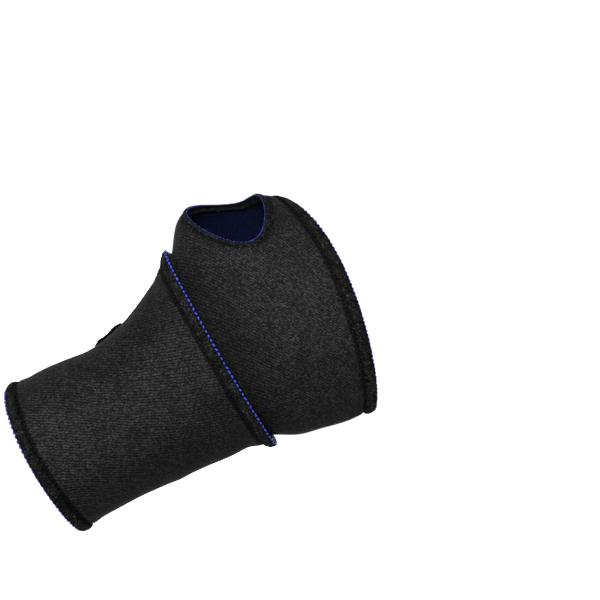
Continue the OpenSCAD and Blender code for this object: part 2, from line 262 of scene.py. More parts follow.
def make(name, points, quads, uv=None, tris=None, mat=None, painted_shade=None, sharp=None):
    """A mesh object from points in millimetres; the painted shade given at each point darkens the material
    there.
    """
    me = bpy.data.meshes.new(name)
    points = np.asarray(points, float).reshape(-1, 3) * MM
    quads = np.asarray(quads, np.int32).reshape(-1, 4)
    tris = np.zeros((0, 3), np.int32) if tris is None else np.asarray(tris, np.int32).reshape(-1, 3)
    loops = np.concatenate([quads.ravel(), tris.ravel()])
    starts = np.concatenate([np.arange(len(quads)) * 4, len(quads) * 4 + np.arange(len(tris)) * 3])
    me.vertices.add(len(points))
    me.vertices.foreach_set("co", points.ravel())
    me.loops.add(len(loops))
    me.loops.foreach_set("vertex_index", loops.astype(np.int32))
    me.polygons.add(len(starts))
    me.polygons.foreach_set("loop_start", starts.astype(np.int32))
    me.polygons.foreach_set("use_smooth", np.ones(len(starts), bool))
    me.update(calc_edges=True)
    if uv is not None:
        layer = me.uv_layers.new(name="UVMap")
        layer.data.foreach_set("uv", np.asarray(uv, float).reshape(-1, 2)[loops].ravel())
    if sharp is not None:
        ends = np.empty(len(me.edges) * 2, np.int32)
        me.edges.foreach_get("vertices", ends)
        ends, sharp = np.sort(ends.reshape(-1, 2), 1), np.sort(sharp, 1)
        top = len(points) + 1
        is_sharp = np.isin(ends[:, 0] * top + ends[:, 1], sharp[:, 0].astype(int) * top + sharp[:, 1])
        me.attributes.new("sharp_edge", "BOOLEAN", "EDGE").data.foreach_set("value", is_sharp)
    if painted_shade is not None:
        layer = me.attributes.new("painted_shade", "FLOAT", "POINT")
        layer.data.foreach_set("value", np.asarray(painted_shade, float).ravel())
    me.validate()
    o = bpy.data.objects.new(name, me)
    bpy.context.scene.collection.objects.link(o)
    if mat:
        me.materials.append(mat)
    return o


def repeated(faces, times, count):
    """The faces of a piece of so many points, repeated."""
    return (faces[None] + (np.arange(times) * count)[:, None, None]).reshape(-1, faces.shape[1])


def thickened(quads, count):
    """A sheet's quads with those of its back, whose points come count later, and of the walls; its border."""
    e = np.concatenate([quads[:, [k, (k + 1) % 4]] for k in range(4)])
    border = e[~np.isin(e[:, 0] * count + e[:, 1], e[:, 1] * count + e[:, 0])]
    walls = np.stack([border[:, 1], border[:, 0], border[:, 0] + count, border[:, 1] + count], 1)
    return np.concatenate([quads, quads[:, ::-1] + count, walls]), border


# How a row of cloth points is spread from one edge to the other, in millimetres from the nearer edge.
NEAR = np.array([1.4, 2.8, 4.1, 4.6, 4.95, 5.25, 5.55, 5.85, 6.2, 6.7, 7.6])


def cloth_rows(turn, inner):
    """Heights of the cloth points at each turn, finer beside the edges."""
    lo, hi = low_edge(turn)[:, None], high_edge(turn)[:, None]
    f = (np.arange(1, inner) / inner)[None, :]
    a, b = lo + NEAR[-1], hi - NEAR[-1]
    return np.concatenate([lo + NEAR[None, :], a + (b - a) * f, hi - NEAR[None, ::-1]], 1)


def groove(turn, z):
    """The needle line beside each overlocked edge, which draws the cloth in at every stitch."""
    bite = 0.75 + 0.25 * np.cos(2 * math.pi * arc(turn, z) / STITCH)
    return sum(bite * np.exp(-((w - EDGE_W - 0.4) / 0.75) ** 2)
               for w in (z - low_edge(turn), high_edge(turn) - z))


def open_hole(t, z, keep):
    """Opens the thumb hole in a grid of cloth points; also how deep its seam draws each of them in."""
    near = (t > NEAR_THUMB[0]) & (t < NEAR_THUMB[1])
    side = np.where(near, side_of(t, z, T / 2), 999)
    ratio = np.hypot(side, z - THUMB_Z) / HOLE_R
    keep = keep[~(ratio < 1).ravel()[keep].all(1)]
    used = np.zeros(t.size, bool)
    used[keep.ravel()] = True
    # Points that are kept inside the hole go out to its edge.
    move = (ratio < 1) & near & used.reshape(t.shape)
    grow = 1 / np.maximum(ratio, 0.3)
    z = np.where(move, THUMB_Z + (z - THUMB_Z) * grow, z)
    t = np.where(move, turn_at(z, T / 2, side * grow), t)
    # How far the cloth is from the hole, measured along the cloth.
    reach = ratio * HOLE_R
    slope = np.gradient(side, axis=0) / np.gradient(arc(t, z), axis=0)
    steep = np.hypot(z - THUMB_Z, side * slope) / np.maximum(reach, 1)
    away = (reach - RIM_R) / np.maximum(steep, 0.3)
    return t, z, keep, np.where(near, np.exp(-((away - 2.6) / 0.6) ** 2), 0)


def strap_shadow_and_side_shade(t, z):
    """Painted shade: a painted shadow beside the strap, and darker on the sides of the arm and higher up the
    wrist.
    """
    above = np.maximum(z - high_edge(t + 360), 0)
    painted_strap_shadow = 0.62 * np.exp(-(above / 20) ** 2) * smooth((t - 180) / 30) * smooth((365 - t) / 25)
    painted_side_shade = 0.36 * smooth((np.abs(t % 360 - 265) - 8) / 36)
    return np.maximum(painted_strap_shadow, painted_side_shade) + 0.14 * smooth((t - 520) / 40) * smooth((z - 10) / 40)


def laminate(name, turns, inner, h_out, h_in, hole, mat, dig, dig_in):
    """A closed sheet of cloth or foam that follows the band; its seams dig into its two faces."""
    z = cloth_rows(turns, inner)
    t = np.repeat(turns[:, None], z.shape[1], 1)
    keep, rim = grid_quads(*z.shape), 0.0
    if hole:
        t, z, keep, rim = open_hole(t, z, keep)
    dip = groove(t, z) + 0.6 * rim
    faces = [band(t, z, h - d * dip).reshape(-1, 3) for h, d in ((h_out, dig), (h_in, dig_in))]
    # Painted shade: darker in the seams' grooves and round the thumb hole's seam, plus the painted shadow
    # beside the strap and painted shade on the sides and up the wrist.
    painted_shade = np.tile((1.1 * dip + strap_shadow_and_side_shade(t, z)).ravel(), 2)
    uv = np.tile(knit_uv(t, z).reshape(-1, 2), (2, 1))
    quads, border = thickened(keep, z.size)
    used = np.unique(quads)
    index = np.full(2 * z.size, -1)
    index[used] = np.arange(len(used))
    return make(name, np.concatenate(faces)[used], index[quads], uv=uv[used], mat=mat, painted_shade=painted_shade[used],
                sharp=index[np.concatenate([border, border + z.size])])


def resample(path, step):
    """A path of (turn, z) with equal steps in millimetres, and the length along it at each."""
    path = np.asarray(path, float)
    mid = (path[1:] + path[:-1]) / 2
    k = mm_a_degree(mid[:, 0], mid[:, 1])
    seg = np.hypot(np.diff(path[:, 0]) * k, np.diff(path[:, 1]))
    s = np.concatenate([[0], np.cumsum(seg)])
    n = max(2, int(round(s[-1] / step)) + 1)
    at = np.linspace(0, s[-1], n)
    p = np.stack([np.interp(at, s, path[:, 0]), np.interp(at, s, path[:, 1])], 1)
    return p, at


def inward(p, way):
    """Turns and heights a millimetre to one side of a path: way 1 is left of it, seen from outside."""
    k = mm_a_degree(p[:, 0], p[:, 1])
    d = np.gradient(p, axis=0)
    x, y = d[:, 0] * k, d[:, 1]
    for _ in range(3):
        x = np.convolve(np.pad(x, 3, "edge"), np.ones(7) / 7, "valid")
        y = np.convolve(np.pad(y, 3, "edge"), np.ones(7) / 7, "valid")
    length = np.maximum(np.hypot(x, y), 1e-9)
    return np.stack([-y / length / k * way, x / length * way], 1)


def edge_path(edge, a, b):
    """A path along the band's high or low edge."""
    t = np.arange(a, b + 0.01, 0.5)
    t[-1] = b
    return np.stack([t, edge(t)], 1)


def rounded(path, times):
    """Cuts the corners of a path, keeping its ends."""
    p = np.asarray(path, float)
    for _ in range(times):
        a, b = p[:-1] * 0.75 + p[1:] * 0.25, p[:-1] * 0.25 + p[1:] * 0.75
        p = np.concatenate([p[:1], np.stack([a, b], 1).reshape(-1, 2)[1:-1], p[-1:]])
    return p


NOISE_CELLS = 4096


def noise2(x, y, seed, cell, rows=1):
    """Smooth random values along a line, or round it where there is more than one row, repeatable."""
    v = np.random.default_rng(seed).uniform(-1, 1, (NOISE_CELLS, rows))
    u, w = np.asarray(x, float) / cell, np.asarray(y, float) / (2 * math.pi) * rows
    i, j = np.floor(u).astype(int), np.floor(w).astype(int)
    f, g = u - i, w - j
    f, g = f * f * (3 - 2 * f), g * g * (3 - 2 * g)
    i, k = i % NOISE_CELLS, (i + 1) % NOISE_CELLS
    j, l = j % rows, (j + 1) % rows
    a, b, c, d = v[i, j], v[i, l], v[k, j], v[k, l]
    return (a * (1 - g) + b * g) * (1 - f) + (c * (1 - g) + d * g) * f


def value_at(value, p):
    """A measure that is one number, or a function of the place along the edge."""
    return value(p) if callable(value) else value


# The roll's points and the powers of its round section, and the length of one bundle of thread.
ROLL_SIDES, ROLL_STEP, ROLL_ROUND, ROLL_FLAT = 30, 0.19, 0.85, 0.72
BUNDLE = 0.95


def roll(name, path, way, mat, up=RISE, down=RISE, width=EDGE_W, seed=1, closed=False, bulk=1.0):
    """The overlocked edge along a path: a round section over both faces, with its fuzzy thread modelled."""
    p, s = resample(path, ROLL_STEP)
    if closed:
        p, s = p[:-1], s[:-1]
        n = inward(np.concatenate([p[-9:], p, p[:9]]), way)[9:-9]
    else:
        n = inward(p, way)
    up, down = (np.reshape(value_at(rise, p), (-1, 1)) for rise in (up, down))
    angle = np.linspace(0, 2 * math.pi, ROLL_SIDES, endpoint=False)[None, :]
    S = s[:, None]
    c, d = np.cos(angle), np.sin(angle)
    # The thread leans along the edge as it crosses it, the other way on each face, in uneven bundles.
    lean = S + 0.5 * c * np.sign(d) + 0.35 * noise2(S, angle, seed, 1.9, 5)
    cell = np.floor(lean / BUNDLE)
    bundle = np.sqrt(np.clip(1 - (2 * (lean / BUNDLE - cell) - 1) ** 2, 0, 1)) - 0.7
    strength = 0.6 + 0.4 * noise2(cell, angle, seed + 5, 1.0, 3)
    relief = (0.17 * bundle * strength + 0.15 * noise2(S, angle, seed + 9, 1.5, 9)
              + 0.1 * noise2(S, angle, seed + 13, 0.5, 17))
    grow = bulk * (relief + 0.09 * noise2(S, 0, seed + 17, 5.0))
    bite = 0.3 * bulk * np.maximum(-c, 0) ** 2 * np.cos(2 * math.pi * S / STITCH)
    w = width / 2 * (1 - np.sign(c) * np.abs(c) ** ROLL_ROUND) - c * grow + bite
    h = T / 2 + (T / 2 + np.where(d > 0, up, down)) * np.sign(d) * np.abs(d) ** ROLL_FLAT + d * grow
    points = band(p[:, None, 0] + n[:, None, 0] * w, p[:, None, 1] + n[:, None, 1] * w, h)
    # Painted shade: the hollows between the bundles, and both borders where the roll turns away, are darker.
    lit = (0.1 + 0.9 * np.abs(d) ** 1.5) * np.clip(0.45 + 2.2 * relief, 0, 1)
    painted_shade = np.broadcast_to(1 - lit, points.shape[:2]).ravel()
    N, M = points.shape[:2]
    uv = np.stack(np.broadcast_arrays(S, angle * width / 2.6), -1).reshape(-1, 2)
    all_points, tris = points.reshape(-1, 3), None
    if closed:
        i, j = np.meshgrid(np.arange(N), np.arange(M), indexing="ij")
        k, l = (i + 1) % N, (j + 1) % M
        quads = np.stack([i * M + j, i * M + l, k * M + l, k * M + j], -1).reshape(-1, 4)
    else:
        quads = grid_quads(N, M, wrap=True)
        all_points = np.concatenate([all_points, points[[0, -1]].mean(1)])
        uv = np.concatenate([uv, [[s[0], 0], [s[-1], 0]]])
        # Painted shade at the roll's two end caps.
        painted_shade = np.concatenate([painted_shade, [0.7, 0.7]])
        j = np.arange(M)
        k = (j + 1) % M
        tris = np.concatenate([np.stack([np.full(M, N * M), k, j], 1),
                               np.stack([np.full(M, N * M + 1), (N - 1) * M + j, (N - 1) * M + k], 1)])
        if way < 0:
            tris = tris[:, ::-1]
    if way < 0:
        quads = quads[:, ::-1]
    return make(name, all_points, quads, uv=uv, tris=tris, mat=mat, painted_shade=painted_shade)


def capsule(length, radius, rings=3, sides=6):
    """A bead of thread along X, centred, as points and faces."""
    xs, rs = [], []
    for i in range(rings + 1):
        a = math.pi / 2 * i / rings
        xs.append(-length / 2 + radius - radius * math.cos(a)), rs.append(radius * math.sin(a))
    xs, rs = np.array(xs), np.array(rs)
    xs, rs = np.concatenate([xs, -xs[::-1]]), np.concatenate([rs, rs[::-1]])
    rs = np.maximum(rs, radius * 0.12)
    a = np.arange(sides) / sides * 2 * math.pi
    pts = np.stack([np.repeat(xs[:, None], sides, 1), rs[:, None] * np.cos(a), rs[:, None] * np.sin(a)], -1)
    quads = grid_quads(len(xs), sides, wrap=True)
    j = np.arange(1, sides - 1)
    first = np.stack([np.zeros_like(j), j + 1, j], 1)
    base = (len(xs) - 1) * sides
    last = np.stack([np.zeros_like(j), j, j + 1], 1) + base
    return pts.reshape(-1, 3), quads, np.concatenate([first, last])


def beads(name, centres, along, normal, mat, length, radius, squash=1.0, jitter=0.0, seed=3, grow=1.0):
    """One bead of thread at each place, lying along one direction with its flat side to another."""
    r = np.random.default_rng(seed)
    pts, quads, tris = capsule(length, radius)
    along = unit(along)
    side = unit(np.cross(normal, along))
    up = np.cross(along, side)
    n = len(centres)
    tilt = r.normal(0, jitter, n)[:, None]
    a2 = along * np.cos(tilt) + side * np.sin(tilt)
    s2 = side * np.cos(tilt) - along * np.sin(tilt)
    size = (grow * (1 + r.uniform(-0.12, 0.12, n)))[:, None, None]
    points = (centres[:, None] + size * (pts[None, :, 0:1] * a2[:, None] + pts[None, :, 1:2] * s2[:, None]
              + pts[None, :, 2:3] * squash * up[:, None]))
    k = len(pts)
    uv = np.stack([np.repeat(np.arange(n) * 3.7, k) + np.tile(pts[:, 0], n), np.tile(pts[:, 1], n)], -1)
    return make(name, points, repeated(quads, n, k), uv=uv, tris=repeated(tris, n, k), mat=mat)


def along_path(path, way, w, h, pitch, phase=0.0):
    """Points at even steps beside a path, the directions along, out of and into the cloth, and the places."""
    p, s = resample(path, 0.5)
    at = np.arange(phase + pitch / 2, s[-1], pitch)
    p, n = (np.stack([np.interp(at, s, v[:, k]) for k in (0, 1)], 1) for v in (p, inward(p, way)))
    w, h = value_at(w, p), value_at(h, p)
    q = p + n * np.reshape(w, (-1, 1))
    here = band(q[:, 0], q[:, 1], h)
    d = np.gradient(q, axis=0)
    d = d / np.maximum(np.hypot(d[:, 0] * 0.6, d[:, 1]), 1e-9)[:, None]
    ahead = band(q[:, 0] + d[:, 0] * 0.2, q[:, 1] + d[:, 1] * 0.2, h)
    out = band(q[:, 0], q[:, 1], np.asarray(h) + 1.0) - here
    inner = band(q[:, 0] + n[:, 0] * 0.5, q[:, 1] + n[:, 1] * 0.5, h) - here
    return here, ahead - here, out, inner, p


def hairs(name, roots, outward, mat, count, length, radius, seed):
    """Fine stray fibres of the fuzzy thread, each a thin curved spike."""
    r = np.random.default_rng(seed)
    pick = r.integers(0, len(roots), count)
    d = unit(unit(outward[pick]) + r.normal(0, 0.9, (count, 3)))
    bend = r.normal(0, 0.8, (count, 3))
    side = unit(np.cross(d, r.normal(0, 1, (count, 3))))
    up = np.cross(d, side)
    long = length * r.uniform(0.4, 1.2, count)[:, None]
    # Four rings of three points, each thinner than the last.
    points = []
    for f, k in ((0, 1.0), (0.4, 0.8), (0.75, 0.55), (1.0, 0.2)):
        c = roots[pick] + d * long * f + bend * long * 0.35 * f * f
        for a in np.radians([0, 120, 240]):
            points.append(c + (side * math.cos(a) + up * math.sin(a)) * radius * k)
    each = len(points)
    uv = np.stack([np.repeat(np.arange(count) * 0.37, each), np.zeros(count * each)], -1)
    return make(name, np.stack(points, 1), repeated(grid_quads(4, 3, wrap=True), count, each), uv=uv, mat=mat)


# ---------------------------------------------------------------- materials

class Graph:
    """Short names for building a node tree."""

    def __init__(self, name):
        self.m = bpy.data.materials.new(name)
        self.m.use_nodes = True
        self.nodes, self.links = self.m.node_tree.nodes, self.m.node_tree.links
        self.bsdf = self.nodes["Principled BSDF"]

    def node(self, kind, **values):
        n = self.nodes.new(kind)
        for k, v in values.items():
            setattr(n, k, v)
        return n

    def put(self, value, socket):
        if isinstance(value, bpy.types.NodeSocket):
            self.links.new(value, socket)
        else:
            socket.default_value = value

    def math(self, op, a, b=0.0, c=0.0, clamp=False):
        n = self.node("ShaderNodeMath", operation=op, use_clamp=clamp)
        for v, s in zip((a, b, c), n.inputs):
            self.put(v, s)
        return n.outputs[0]

    def mul(self, a, b, clamp=False):
        return self.math("MULTIPLY", a, b, clamp=clamp)

    def madd(self, a, b, c, clamp=False):
        return self.math("MULTIPLY_ADD", a, b, c, clamp)

    def hump(self, x, times=1):
        """Goes from 0 to 1 and back, so many times as x grows by one."""
        return self.madd(self.math("COSINE", self.mul(x, 2 * math.pi * times)), -0.5, 0.5)

    def lit(self, level):
        """The level, less the painted shade that the mesh gives at each point."""
        painted_shade = self.node("ShaderNodeAttribute", attribute_name="painted_shade").outputs["Fac"]
        return self.mul(level, self.math("SUBTRACT", 1.0, painted_shade, clamp=True), clamp=True)

    def uv(self):
        """The cloth's coordinates in millimetres, and each of the two alone."""
        n = self.node("ShaderNodeSeparateXYZ")
        t = self.node("ShaderNodeTexCoord")
        self.links.new(t.outputs["UV"], n.inputs[0])
        return t.outputs["UV"], n.outputs[0], n.outputs[1]

    def noise(self, vector, scale, detail=2.0, rough=0.5):
        n = self.node("ShaderNodeTexNoise")
        self.links.new(vector, n.inputs["Vector"])
        n.inputs["Scale"].default_value = scale
        n.inputs["Detail"].default_value = detail
        n.inputs["Roughness"].default_value = rough
        return n.outputs["Fac"]

    def mix(self, fac, a, b):
        n = self.node("ShaderNodeMix", data_type="RGBA")
        self.put(fac, n.inputs["Factor"])
        n.inputs[6].default_value, n.inputs[7].default_value = (*a, 1), (*b, 1)
        return n.outputs[2]

    def bump(self, height, strength, distance):
        n = self.node("ShaderNodeBump")
        self.links.new(height, n.inputs["Height"])
        n.inputs["Strength"].default_value = strength
        n.inputs["Distance"].default_value = distance
        self.links.new(n.outputs[0], self.bsdf.inputs["Normal"])

    def finish(self, color, rough, sheen=0.0, sheen_rough=0.5, sheen_tint=(1, 1, 1), specular=0.5):
        self.put(color, self.bsdf.inputs["Base Color"])
        self.put(rough, self.bsdf.inputs["Roughness"])
        self.bsdf.inputs["Sheen Weight"].default_value = sheen
        self.bsdf.inputs["Sheen Roughness"].default_value = sheen_rough
        self.bsdf.inputs["Sheen Tint"].default_value = (*sheen_tint, 1)
        self.bsdf.inputs["Specular IOR Level"].default_value = specular
        return self.m


def knit_material(name, dark, light, pitch, course, sheen, specular, tint):
    """Small stitches in ribs, each of its own brightness, darkened by the painted shade that the mesh gives,
    most in the seams' grooves.
    """
    g = Graph(name)
    uv, p, q = g.uv()
    p = g.madd(g.noise(uv, 0.09), 1.2, g.madd(g.noise(uv, 0.55), 0.8, p))
    q = g.madd(g.noise(uv, 0.4), 1.4, q)
    # Two columns of stitches to a rib, half a stitch out of step with each other.
    across = g.math("DIVIDE", p, pitch)
    column = g.math("FLOOR", g.mul(across, 2.0))
    ahead = g.madd(g.math("MODULO", column, 2.0), 0.5, g.math("DIVIDE", q, course))
    rib, wale, stitch = g.hump(across), g.hump(across, 2), g.hump(ahead)
    cell = g.node("ShaderNodeCombineXYZ")
    g.put(column, cell.inputs[0]), g.put(g.math("FLOOR", ahead), cell.inputs[1])
    chance = g.node("ShaderNodeTexWhiteNoise")
    g.links.new(cell.outputs[0], chance.inputs["Vector"])
    bright = g.madd(g.math("POWER", chance.outputs["Value"], 2.0), 1.5, 0.45)
    grain = g.noise(uv, 1.8, 4.0, 0.75)
    dot = g.mul(g.madd(rib, 0.72, 0.28), g.madd(g.mul(wale, stitch), 0.6, 0.4))
    level = g.mul(g.mul(dot, bright), g.madd(grain, 4.4, -1.25, clamp=True))
    broad = g.madd(g.noise(uv, 0.1), 0.9, 0.55)
    # The mesh's painted shade darkens the stitches.
    level = g.lit(g.mul(level, broad))
    g.bump(g.math("ADD", g.mul(rib, 0.5), g.madd(stitch, 0.3, g.mul(grain, 0.5))), 0.5, 0.00022)
    return g.finish(g.mix(level, dark, light), g.madd(grain, 0.2, 0.62), sheen=sheen, sheen_rough=0.45,
                    sheen_tint=tint, specular=specular)


TWIST = 0.36


def thread_material(name, dark, light, scale, sheen, specular=0.12, rough=0.8, fluff=0.0):
    """Twisted thread; fluffy thread has lighter tufts in random places, partly painted highlights of the
    fuzz, and takes the mesh's painted shade.
    """
    g = Graph(name)
    uv, p, q = g.uv()
    fine = g.noise(uv, scale, 4.0, 0.7)
    twist = g.math("SINE", g.mul(g.math("ADD", p, g.mul(q, 0.6)), 2 * math.pi / TWIST))
    level = g.madd(twist, 0.2, fine, clamp=True)
    if fluff:
        # Lighter tufts in random places, which also stand for the fuzz catching the light: painted
        # highlights; the mesh's painted shade darkens the rest.
        tuft = g.madd(g.noise(uv, 1.7, 3.0, 0.7), 8.0, -4.5, clamp=True)
        level = g.lit(g.mul(level, g.madd(tuft, fluff, 1 - fluff)))
    g.bump(g.madd(twist, 0.3, fine), 0.8, 0.00025 if fluff else 0.00012)
    return g.finish(g.mix(level, dark, light), g.madd(fine, 0.15, rough), sheen=sheen, sheen_rough=0.6,
                    specular=specular)


BLACK_KNIT = knit_material("black_knit", (0.0006, 0.0006, 0.0007), (0.0302, 0.0298, 0.0302), 1.1, 0.72,
                           0.01, 0.02, (0.8, 0.76, 1.0))
BLUE_KNIT = knit_material("blue_lining", (0.0008, 0.0015, 0.007), (0.0043, 0.0077, 0.0325), 1.2, 0.7,
                          0.02, 0.03, (0.6, 0.7, 1.0))
OVERLOCK = thread_material("black_overlock", (0.0005, 0.0005, 0.0005), (0.2, 0.2, 0.19), 3.0, 0.0, 0.02,
                           fluff=0.93)
FUZZ = thread_material("overlock_fuzz", (0.008, 0.008, 0.0075), (0.045, 0.045, 0.042), 3.0, 0.0, 0.02)
BLACK_THREAD = thread_material("black_stitching", (0.0008, 0.0008, 0.0008), (0.007, 0.007, 0.008), 5.0,
                               0.0, 0.03)
BLUE_THREAD = thread_material("blue_thread", (0.006, 0.014, 0.18), (0.02, 0.042, 0.42), 5.0, 0.05, 0.2, 0.55)
PILE = thread_material("loop_pile", (0.002, 0.002, 0.002), (0.02, 0.02, 0.021), 4.0, 0.03, 0.04)


def foam_material():
    g = Graph("neoprene_foam")
    cells = g.node("ShaderNodeTexVoronoi")
    g.links.new(g.uv()[0], cells.inputs["Vector"])
    cells.inputs["Scale"].default_value = 2.5
    level = g.mul(cells.outputs["Distance"], 1.2, clamp=True)
    g.bump(level, 0.5, 0.0002)
    return g.finish(g.mix(level, (0.012, 0.012, 0.012), (0.05, 0.05, 0.05)), 0.85)


def hook_material():
    g = Graph("hook_plastic")
    level = g.noise(g.uv()[0], 1.5, 3.0, 0.6)
    g.bump(level, 0.3, 0.0001)
    return g.finish(g.mix(level, (0.006, 0.006, 0.007), (0.02, 0.02, 0.022)), g.madd(level, 0.2, 0.5),
                    specular=0.12)


FOAM, HOOK = foam_material(), hook_material()


# ---------------------------------------------------------------- bodies

def tangent_points(t0, t1, z=45.0):
    """Where a fold starts and ends, as two points on the band in metres."""
    a, b = band(t0, z, T / 2) * MM, band(t1, z, T / 2) * MM
    return tuple(a.ravel()), tuple(b.ravel())


FLAP_BEND = tangent_points(757.0, 773.0)
TAB_BEND = tangent_points(820.5, 831.5)


def place(o, part, slot_name, *nodes):
    """Attaches a piece to its body, or for the flap and the tab bakes its placement into its mesh, and hides
    the CAD nodes that it stands for; slot_name is not used.
    """
    if part == "flap":
        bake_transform(o)
    elif part == "tab":
        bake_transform(o)
    else:
        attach(o, part.replace("rigid_", ""))
    if nodes:
        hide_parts(*nodes)
    return o


def sheet_area(turns):
    """Flat width, length and area of a stretch of the band, in metres, from its middle line."""
    low, high = low_edge(turns), high_edge(turns)
    line = band(turns, (low + high) / 2, T / 2)
    step = np.diff(line, axis=0)
    run, along = np.hypot(step[:, 0], step[:, 1]), np.linalg.norm(step, axis=1)
    tall = high - low - 2 * NEAR[0]
    tall = (tall[1:] + tall[:-1]) / 2
    wide, long, area = (tall * run / along).max(), along.sum(), (tall * run).sum()
    return float(wide) * MM, float(long) * MM, float(area) * MM * MM


# Degrees of turn between rows of cloth points, and how much the thumb hole's slant lengthens it.
FINE, COARSE = 0.8, 1.6
HOLE_SLANT = 1.2


PARTS = {"brace": (START, FLAP_FROM), "flap": (FLAP_FROM, TAB_FROM), "tab": (TAB_FROM, END)}
for part, (a, b) in PARTS.items():
    fine, coarse = (np.linspace(a, b, int(round((b - a) / step)) + 1) for step in (FINE, COARSE))
    hole = part == "brace"
    knit = laminate(f"{part}_knit", fine, 52, T, T - SKIN, hole, BLACK_KNIT, 1.0, 1.0)
    liner = laminate(f"{part}_liner", coarse, 40, 0.0, SKIN, hole, BLUE_KNIT, -0.5, -0.5)
    foam = laminate(f"{part}_foam", coarse, 30, T - SKIN - 0.05, SKIN + 0.05, hole, FOAM, 1.0, -0.5)
    place(knit, part, "black_knit", f"{part}_facing")
    place(liner, part, "blue_lining", f"{part}_lining")
    place(foam, part, "neoprene_foam", f"{part}_core")
    wide, long, area = sheet_area(fine)
    if hole:
        area -= math.pi * HOLE_R * HOLE_R * HOLE_SLANT * MM * MM


# ---------------------------------------------------------------- overlocked edges

END_REACH = 3.3


def hand_end_path():
    """Up the band's first end and round into the palm edge."""
    back = START - END_REACH / 0.6
    low, high = float(low_edge(START)), float(high_edge(START))
    z = np.linspace(low + 1, high - 3, 24)
    line = np.stack([np.full_like(z, back), z], 1)
    edge = edge_path(high_edge, START + 6, FLAP_FROM)
    turned = rounded(np.concatenate([line, [[back + 1.0, high + 1.5]], edge[:6]]), 3)
    return np.concatenate([turned, edge[6:]])


def tab_path():
    """Along the tab's lower edge, round its end and back along its upper edge."""
    out = END + END_REACH / 0.5
    low = edge_path(low_edge, TAB_FROM, END - 1.5)
    high = edge_path(high_edge, TAB_FROM, END - 1.5)[::-1]
    z0, z1 = float(low_edge(END)), float(high_edge(END))
    end = np.array([[out, z0 + 3], [out, (z0 + z1) / 2], [out, z1 - 1.5]])
    turned = rounded(np.concatenate([low[-3:], end, high[:3]]), 4)
    return np.concatenate([low[:-3], turned, high[3:]])


def low_rise(p):
    """The forearm edge lies flat where the next turn covers it."""
    return 0.25 + 0.75 * smooth((p[:, 0] - 490) / 30)


def tab_rise(p):
    """The overlock stands up at the upper corner of the tab's end."""
    return RISE + 1.1 * smooth((p[:, 1] - 44) / 8) * smooth((p[:, 0] - 850) / 12)


def shown_rise(p):
    """The hand panel's hidden end lies flat."""
    return np.where((p[:, 0] < 125) & (p[:, 1] < 104), 0.25, 1.0)


# The name, path, side that the cloth is on, body, rises, and the CAD nodes of the edge and of its thread.
EDGES = [
    ("brace_distal", hand_end_path(), -1, "brace", dict(up=shown_rise, down=shown_rise, seed=21),
     ["distal_edge_overlock", "hand_end_overlock"], ["distal_edge_thread", "hand_end_thread"]),
    ("brace_proximal", edge_path(low_edge, START, FLAP_FROM), 1, "brace",
     dict(up=low_rise, down=low_rise, seed=22), ["proximal_edge_overlock"], ["proximal_edge_thread"]),
    ("flap_distal", edge_path(high_edge, FLAP_FROM, TAB_FROM), -1, "flap", dict(seed=23),
     ["flap_distal_overlock"], ["flap_distal_thread"]),
    ("flap_proximal", edge_path(low_edge, FLAP_FROM, TAB_FROM), 1, "flap", dict(seed=24),
     ["flap_proximal_overlock"], ["flap_proximal_thread"]),
    ("tab_round", tab_path(), 1, "tab", dict(up=tab_rise, seed=25),
     ["tab_distal_overlock", "tab_proximal_overlock", "tab_end_overlock"],
     ["tab_distal_thread", "tab_proximal_thread", "tab_end_thread"]),
]


def roll_height(w, rise, width):
    """The height of a rolled edge's outer face, at a distance in from the edge."""
    c = np.clip(1 - 2 * np.asarray(w) / width, -1, 1)
    return T / 2 + (T / 2 + rise) * (1 - np.abs(c) ** (2 / ROLL_ROUND)) ** (ROLL_FLAT / 2)


TAB_THREAD_IN = 1.3
STRAP_FROM, STRAP_TO, STRAP_LOW = 540, 800, 60
CUFF_FROM, CUFF_HIGH = 400, 30


def blue_place(p):
    """How far in, how high and how big the looper thread's stitches are.

    They lie on the very edge, but on the outer face of the strap and of the tab."""
    turn, z = p[:, 0], p[:, 1]
    strap = (turn > STRAP_FROM) & (turn < STRAP_TO) & (z > STRAP_LOW)
    tab = turn >= STRAP_TO
    cuff = (turn > CUFF_FROM) & (z < CUFF_HIGH)
    on_tab = roll_height(TAB_THREAD_IN, tab_rise(p), EDGE_W) + 0.05
    return (np.where(strap, 0.35, np.where(tab, TAB_THREAD_IN, 0.1)),
            np.where(strap, T + 0.15, np.where(tab, on_tab, np.where(cuff, T - 0.1, T - 0.85))),
            np.where(strap | cuff, 1.05, 0.95))


FUZZ_PITCH, FUZZ_SHARE, FUZZ_LENGTH, FUZZ_R = 0.16, 0.45, 0.6, 0.045


